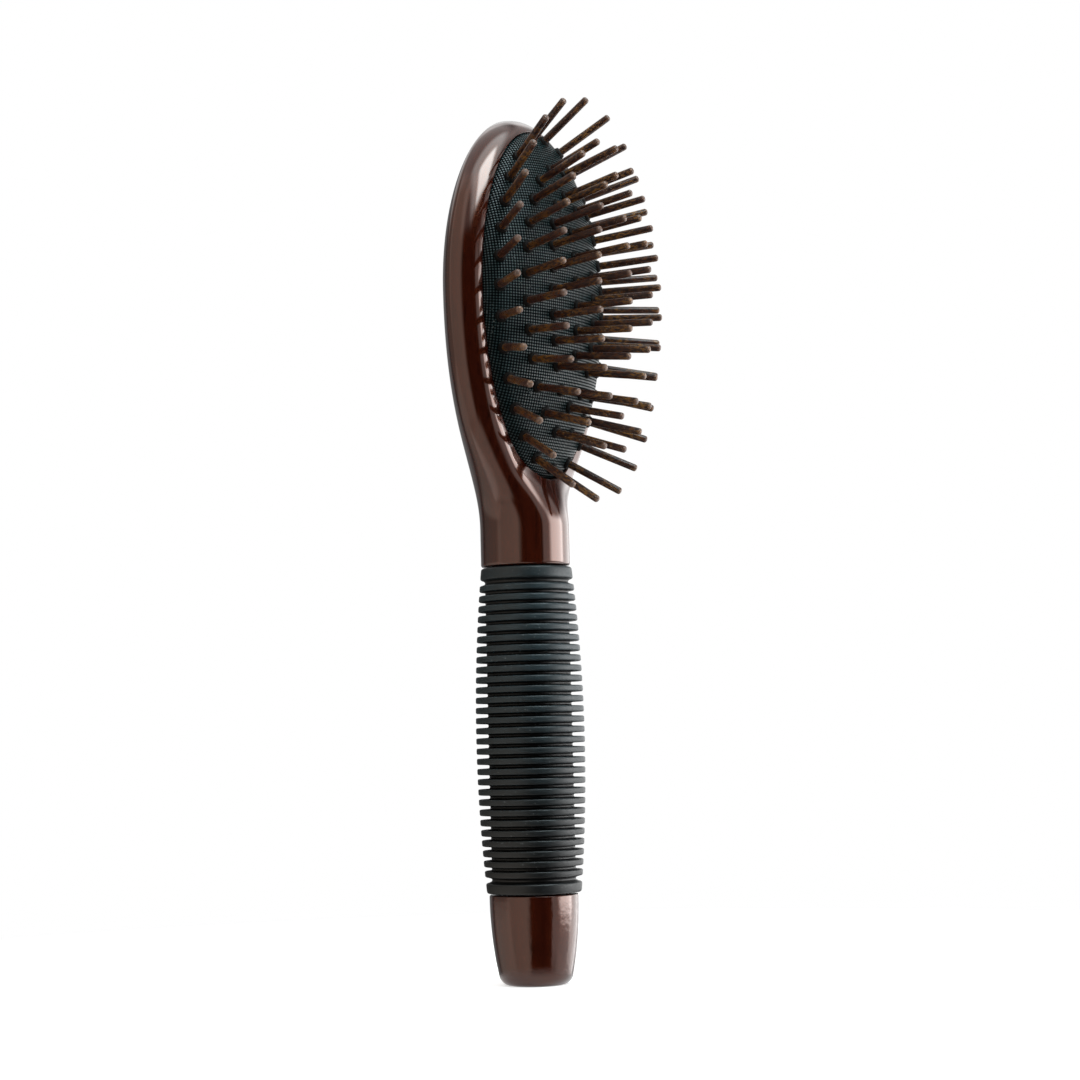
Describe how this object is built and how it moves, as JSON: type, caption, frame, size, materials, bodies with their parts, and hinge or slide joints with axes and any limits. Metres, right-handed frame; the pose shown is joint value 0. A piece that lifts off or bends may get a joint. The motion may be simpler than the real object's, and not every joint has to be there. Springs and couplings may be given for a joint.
{
  "type": "pin brush",
  "caption": "Upright oval cushion hair brush: wooden pins on a domed air cushion in a lacquered wooden head, with a finned rubber grip sleeve over the handle and a turned end cap.",
  "frame": {"origin": "centre of the flat butt end of the handle", "axes": "+Z along the handle from the butt to the head, -Y the way the middle pins point, X across the head"},
  "size_m": [0.071, 0.0475, 0.2258],
  "materials": {
    "lacquered_wood": "clear high-gloss lacquer over dark brown wood",
    "grip_rubber": "satin charcoal rubber",
    "cushion_face": "matt woven face on rubber",
    "pin_wood": "satin turned wood"
  },
  "bodies": {
    "brush": {"wooden_body": "lacquered_wood", "end_cap": "lacquered_wood", "grip_sleeve": "grip_rubber", "cushion": "cushion_face"},
    "pin_middle_01": {"pin_middle_01": "pin_wood"},
    "pin_middle_02": {"pin_middle_02": "pin_wood"},
    "pin_middle_03": {"pin_middle_03": "pin_wood"},
    "pin_middle_04": {"pin_middle_04": "pin_wood"},
    "pin_middle_05": {"pin_middle_05": "pin_wood"},
    "pin_middle_06": {"pin_middle_06": "pin_wood"},
    "pin_second_01": {"pin_second_01": "pin_wood"},
    "pin_second_02": {"pin_second_02": "pin_wood"},
    "pin_second_03": {"pin_second_03": "pin_wood"},
    "pin_second_04": {"pin_second_04": "pin_wood"},
    "pin_second_05": {"pin_second_05": "pin_wood"},
    "pin_second_06": {"pin_second_06": "pin_wood"},
    "pin_second_07": {"pin_second_07": "pin_wood"},
    "pin_second_08": {"pin_second_08": "pin_wood"},
    "pin_second_09": {"pin_second_09": "pin_wood"},
    "pin_second_10": {"pin_second_10": "pin_wood"},
    "pin_second_11": {"pin_second_11": "pin_wood"},
    "pin_second_12": {"pin_second_12": "pin_wood"},
    "pin_second_13": {"pin_second_13": "pin_wood"},
    "pin_second_14": {"pin_second_14": "pin_wood"},
    "pin_second_15": {"pin_second_15": "pin_wood"},
    "pin_second_16": {"pin_second_16": "pin_wood"},
    "pin_second_17": {"pin_second_17": "pin_wood"},
    "pin_second_18": {"pin_second_18": "pin_wood"},
    "pin_second_19": {"pin_second_19": "pin_wood"},
    "pin_second_20": {"pin_second_20": "pin_wood"},
    "pin_second_21": {"pin_second_21": "pin_wood"},
    "pin_second_22": {"pin_second_22": "pin_wood"},
    "pin_second_23": {"pin_second_23": "pin_wood"},
    "pin_second_24": {"pin_second_24": "pin_wood"},
    "pin_third_01": {"pin_third_01": "pin_wood"},
    "pin_third_02": {"pin_third_02": "pin_wood"},
    "pin_third_03": {"pin_third_03": "pin_wood"},
    "pin_third_04": {"pin_third_04": "pin_wood"},
    "pin_third_05": {"pin_third_05": "pin_wood"},
    "pin_third_06": {"pin_third_06": "pin_wood"},
    "pin_third_07": {"pin_third_07": "pin_wood"},
    "pin_third_08": {"pin_third_08": "pin_wood"},
    "pin_third_09": {"pin_third_09": "pin_wood"},
    "pin_third_10": {"pin_third_10": "pin_wood"},
    "pin_third_11": {"pin_third_11": "pin_wood"},
    "pin_third_12": {"pin_third_12": "pin_wood"},
    "pin_third_13": {"pin_third_13": "pin_wood"},
    "pin_third_14": {"pin_third_14": "pin_wood"},
    "pin_third_15": {"pin_third_15": "pin_wood"},
    "pin_third_16": {"pin_third_16": "pin_wood"},
    "pin_third_17": {"pin_third_17": "pin_wood"},
    "pin_third_18": {"pin_third_18": "pin_wood"},
    "pin_third_19": {"pin_third_19": "pin_wood"},
    "pin_third_20": {"pin_third_20": "pin_wood"}
  },
  "joints": [
    {"name": "middle_01_rock", "type": "hinge", "parent": "brush", "child": "pin_middle_01", "pos_m": [0, -0.01564, 0.15954], "axis": [0, -0.112, 0.9937], "range_deg": [-8, 8], "stiffness_Nm_per_rad": 0.02},
    {"name": "middle_02_rock", "type": "hinge", "parent": "brush", "child": "pin_middle_02", "pos_m": [0, -0.01619, 0.1658], "axis": [0, -0.0657, 0.9978], "range_deg": [-8, 8], "stiffness_Nm_per_rad": 0.02},
    {"name": "middle_03_rock", "type": "hinge", "parent": "brush", "child": "pin_middle_03", "pos_m": [0, -0.01647, 0.17207], "axis": [0, -0.0217, 0.9998], "range_deg": [-8, 8], "stiffness_Nm_per_rad": 0.02},
    {"name": "middle_04_rock", "type": "hinge", "parent": "brush", "child": "pin_middle_04", "pos_m": [0, -0.01646, 0.17833], "axis": [0, 0.0251, 0.9997], "range_deg": [-8, 8], "stiffness_Nm_per_rad": 0.02},
    {"name": "middle_05_rock", "type": "hinge", "parent": "brush", "child": "pin_middle_05", "pos_m": [0, -0.01614, 0.18459], "axis": [0, 0.0762, 0.9971], "range_deg": [-8, 8], "stiffness_Nm_per_rad": 0.02},
    {"name": "middle_06_rock", "type": "hinge", "parent": "brush", "child": "pin_middle_06", "pos_m": [0, -0.0155, 0.19085], "axis": [0, 0.1304, 0.9915], "range_deg": [-8, 8], "stiffness_Nm_per_rad": 0.02},
    {"name": "second_01_rock", "type": "hinge", "parent": "brush", "child": "pin_second_01", "pos_m": [0.01748, -0.01297, 0.17857], "axis": [-0.0122, 0.0274, 0.9995], "range_deg": [-8, 8], "stiffness_Nm_per_rad": 0.02},
    {"name": "second_02_rock", "type": "hinge", "parent": "brush", "child": "pin_second_02", "pos_m": [0.01671, -0.01286, 0.18525], "axis": [-0.0356, 0.0832, 0.9959], "range_deg": [-8, 8], "stiffness_Nm_per_rad": 0.02},
    {"name": "second_03_rock", "type": "hinge", "parent": "brush", "child": "pin_second_03", "pos_m": [0.01512, -0.01266, 0.19178], "axis": [-0.0556, 0.1416, 0.9884], "range_deg": [-8, 8], "stiffness_Nm_per_rad": 0.02},
    {"name": "second_04_rock", "type": "hinge", "parent": "brush", "child": "pin_second_04", "pos_m": [0.01254, -0.01236, 0.19797], "axis": [-0.0678, 0.2039, 0.9766], "range_deg": [-8, 8], "stiffness_Nm_per_rad": 0.02},
    {"name": "second_05_rock", "type": "hinge", "parent": "brush", "child": "pin_second_05", "pos_m": [0.00871, -0.01201, 0.20345], "axis": [-0.0636, 0.2685, 0.9612], "range_deg": [-8, 8], "stiffness_Nm_per_rad": 0.02},
    {"name": "second_06_rock", "type": "hinge", "parent": "brush", "child": "pin_second_06", "pos_m": [0.00326, -0.01173, 0.20717], "axis": [-0.0291, 0.3206, 0.9468], "range_deg": [-8, 8], "stiffness_Nm_per_rad": 0.02},
    {"name": "second_07_rock", "type": "hinge", "parent": "brush", "child": "pin_second_07", "pos_m": [-0.00326, -0.01173, 0.20717], "axis": [0.0291, 0.3206, 0.9468], "range_deg": [-8, 8], "stiffness_Nm_per_rad": 0.02},
    {"name": "second_08_rock", "type": "hinge", "parent": "brush", "child": "pin_second_08", "pos_m": [-0.00871, -0.01201, 0.20345], "axis": [0.0636, 0.2685, 0.9612], "range_deg": [-8, 8], "stiffness_Nm_per_rad": 0.02},
    {"name": "second_09_rock", "type": "hinge", "parent": "brush", "child": "pin_second_09", "pos_m": [-0.01254, -0.01236, 0.19797], "axis": [0.0678, 0.2039, 0.9766], "range_deg": [-8, 8], "stiffness_Nm_per_rad": 0.02},
    {"name": "second_10_rock", "type": "hinge", "parent": "brush", "child": "pin_second_10", "pos_m": [-0.01512, -0.01266, 0.19178], "axis": [0.0556, 0.1416, 0.9884], "range_deg": [-8, 8], "stiffness_Nm_per_rad": 0.02},
    {"name": "second_11_rock", "type": "hinge", "parent": "brush", "child": "pin_second_11", "pos_m": [-0.01671, -0.01286, 0.18525], "axis": [0.0356, 0.0832, 0.9959], "range_deg": [-8, 8], "stiffness_Nm_per_rad": 0.02},
    {"name": "second_12_rock", "type": "hinge", "parent": "brush", "child": "pin_second_12", "pos_m": [-0.01748, -0.01297, 0.17857], "axis": [0.0122, 0.0274, 0.9995], "range_deg": [-8, 8], "stiffness_Nm_per_rad": 0.02},
    {"name": "second_13_rock", "type": "hinge", "parent": "brush", "child": "pin_second_13", "pos_m": [-0.01749, -0.01297, 0.17159], "axis": [-0.0113, -0.0254, 0.9996], "range_deg": [-8, 8], "stiffness_Nm_per_rad": 0.02},
    {"name": "second_14_rock", "type": "hinge", "parent": "brush", "child": "pin_second_14", "pos_m": [-0.01676, -0.01285, 0.1644], "axis": [-0.0331, -0.0771, 0.9965], "range_deg": [-8, 8], "stiffness_Nm_per_rad": 0.02},
    {"name": "second_15_rock", "type": "hinge", "parent": "brush", "child": "pin_second_15", "pos_m": [-0.01523, -0.01261, 0.15735], "axis": [-0.0523, -0.1318, 0.9899], "range_deg": [-8, 8], "stiffness_Nm_per_rad": 0.02},
    {"name": "second_16_rock", "type": "hinge", "parent": "brush", "child": "pin_second_16", "pos_m": [-0.01276, -0.01227, 0.15058], "axis": [-0.0651, -0.1911, 0.9794], "range_deg": [-8, 8], "stiffness_Nm_per_rad": 0.02},
    {"name": "second_17_rock", "type": "hinge", "parent": "brush", "child": "pin_second_17", "pos_m": [-0.00903, -0.01185, 0.14446], "axis": [-0.0634, -0.2549, 0.9649], "range_deg": [-8, 8], "stiffness_Nm_per_rad": 0.02},
    {"name": "second_18_rock", "type": "hinge", "parent": "brush", "child": "pin_second_18", "pos_m": [-0.00347, -0.01148, 0.14006], "axis": [-0.0306, -0.3107, 0.95], "range_deg": [-8, 8], "stiffness_Nm_per_rad": 0.02},
    {"name": "second_19_rock", "type": "hinge", "parent": "brush", "child": "pin_second_19", "pos_m": [0.00347, -0.01148, 0.14006], "axis": [0.0306, -0.3107, 0.95], "range_deg": [-8, 8], "stiffness_Nm_per_rad": 0.02},
    {"name": "second_20_rock", "type": "hinge", "parent": "brush", "child": "pin_second_20", "pos_m": [0.00903, -0.01185, 0.14446], "axis": [0.0634, -0.2549, 0.9649], "range_deg": [-8, 8], "stiffness_Nm_per_rad": 0.02},
    {"name": "second_21_rock", "type": "hinge", "parent": "brush", "child": "pin_second_21", "pos_m": [0.01276, -0.01227, 0.15058], "axis": [0.0651, -0.1911, 0.9794], "range_deg": [-8, 8], "stiffness_Nm_per_rad": 0.02},
    {"name": "second_22_rock", "type": "hinge", "parent": "brush", "child": "pin_second_22", "pos_m": [0.01523, -0.01261, 0.15735], "axis": [0.0523, -0.1318, 0.9899], "range_deg": [-8, 8], "stiffness_Nm_per_rad": 0.02},
    {"name": "second_23_rock", "type": "hinge", "parent": "brush", "child": "pin_second_23", "pos_m": [0.01676, -0.01285, 0.1644], "axis": [0.0331, -0.0771, 0.9965], "range_deg": [-8, 8], "stiffness_Nm_per_rad": 0.02},
    {"name": "second_24_rock", "type": "hinge", "parent": "brush", "child": "pin_second_24", "pos_m": [0.01749, -0.01297, 0.17159], "axis": [0.0113, -0.0254, 0.9996], "range_deg": [-8, 8], "stiffness_Nm_per_rad": 0.02},
    {"name": "third_01_rock", "type": "hinge", "parent": "brush", "child": "pin_third_01", "pos_m": [0.00963, -0.01551, 0.1752], "axis": [0, 0, 1], "range_deg": [-8, 8], "stiffness_Nm_per_rad": 0.02},
    {"name": "third_02_rock", "type": "hinge", "parent": "brush", "child": "pin_third_02", "pos_m": [0.00938, -0.01542, 0.18099], "axis": [-0.0096, 0.0469, 0.9989], "range_deg": [-8, 8], "stiffness_Nm_per_rad": 0.02},
    {"name": "third_03_rock", "type": "hinge", "parent": "brush", "child": "pin_third_03", "pos_m": [0.00858, -0.01516, 0.18674], "axis": [-0.0181, 0.0948, 0.9953], "range_deg": [-8, 8], "stiffness_Nm_per_rad": 0.02},
    {"name": "third_04_rock", "type": "hinge", "parent": "brush", "child": "pin_third_04", "pos_m": [0.00711, -0.01472, 0.19234], "axis": [-0.0234, 0.1447, 0.9892], "range_deg": [-8, 8], "stiffness_Nm_per_rad": 0.02},
    {"name": "third_05_rock", "type": "hinge", "parent": "brush", "child": "pin_third_05", "pos_m": [0.0046, -0.01415, 0.19753], "axis": [-0.0212, 0.1957, 0.9804], "range_deg": [-8, 8], "stiffness_Nm_per_rad": 0.02},
    {"name": "third_06_rock", "type": "hinge", "parent": "brush", "child": "pin_third_06", "pos_m": [0, -0.01373, 0.20062], "axis": [0, 0.2294, 0.9733], "range_deg": [-8, 8], "stiffness_Nm_per_rad": 0.02},
    {"name": "third_07_rock", "type": "hinge", "parent": "brush", "child": "pin_third_07", "pos_m": [-0.0046, -0.01415, 0.19753], "axis": [0.0212, 0.1957, 0.9804], "range_deg": [-8, 8], "stiffness_Nm_per_rad": 0.02},
    {"name": "third_08_rock", "type": "hinge", "parent": "brush", "child": "pin_third_08", "pos_m": [-0.00711, -0.01472, 0.19234], "axis": [0.0234, 0.1447, 0.9892], "range_deg": [-8, 8], "stiffness_Nm_per_rad": 0.02},
    {"name": "third_09_rock", "type": "hinge", "parent": "brush", "child": "pin_third_09", "pos_m": [-0.00858, -0.01516, 0.18674], "axis": [0.0181, 0.0948, 0.9953], "range_deg": [-8, 8], "stiffness_Nm_per_rad": 0.02},
    {"name": "third_10_rock", "type": "hinge", "parent": "brush", "child": "pin_third_10", "pos_m": [-0.00938, -0.01542, 0.18099], "axis": [0.0096, 0.0469, 0.9989], "range_deg": [-8, 8], "stiffness_Nm_per_rad": 0.02},
    {"name": "third_11_rock", "type": "hinge", "parent": "brush", "child": "pin_third_11", "pos_m": [-0.00963, -0.01551, 0.1752], "axis": [0, 0, 1], "range_deg": [-8, 8], "stiffness_Nm_per_rad": 0.02},
    {"name": "third_12_rock", "type": "hinge", "parent": "brush", "child": "pin_third_12", "pos_m": [-0.00939, -0.01541, 0.16879], "axis": [-0.0092, -0.0448, 0.999], "range_deg": [-8, 8], "stiffness_Nm_per_rad": 0.02},
    {"name": "third_13_rock", "type": "hinge", "parent": "brush", "child": "pin_third_13", "pos_m": [-0.00863, -0.01512, 0.16242], "axis": [-0.0174, -0.0908, 0.9957], "range_deg": [-8, 8], "stiffness_Nm_per_rad": 0.02},
    {"name": "third_14_rock", "type": "hinge", "parent": "brush", "child": "pin_third_14", "pos_m": [-0.00721, -0.01462, 0.15617], "axis": [-0.023, -0.1393, 0.99], "range_deg": [-8, 8], "stiffness_Nm_per_rad": 0.02},
    {"name": "third_15_rock", "type": "hinge", "parent": "brush", "child": "pin_third_15", "pos_m": [-0.00478, -0.01396, 0.15027], "axis": [-0.0217, -0.1906, 0.9814], "range_deg": [-8, 8], "stiffness_Nm_per_rad": 0.02},
    {"name": "third_16_rock", "type": "hinge", "parent": "brush", "child": "pin_third_16", "pos_m": [0, -0.01342, 0.14648], "axis": [0, -0.228, 0.9737], "range_deg": [-8, 8], "stiffness_Nm_per_rad": 0.02},
    {"name": "third_17_rock", "type": "hinge", "parent": "brush", "child": "pin_third_17", "pos_m": [0.00478, -0.01396, 0.15027], "axis": [0.0217, -0.1906, 0.9814], "range_deg": [-8, 8], "stiffness_Nm_per_rad": 0.02},
    {"name": "third_18_rock", "type": "hinge", "parent": "brush", "child": "pin_third_18", "pos_m": [0.00721, -0.01462, 0.15617], "axis": [0.023, -0.1393, 0.99], "range_deg": [-8, 8], "stiffness_Nm_per_rad": 0.02},
    {"name": "third_19_rock", "type": "hinge", "parent": "brush", "child": "pin_third_19", "pos_m": [0.00863, -0.01512, 0.16242], "axis": [0.0174, -0.0908, 0.9957], "range_deg": [-8, 8], "stiffness_Nm_per_rad": 0.02},
    {"name": "third_20_rock", "type": "hinge", "parent": "brush", "child": "pin_third_20", "pos_m": [0.00939, -0.01541, 0.16879], "axis": [0.0092, -0.0448, 0.999], "range_deg": [-8, 8], "stiffness_Nm_per_rad": 0.02}
  ]
}
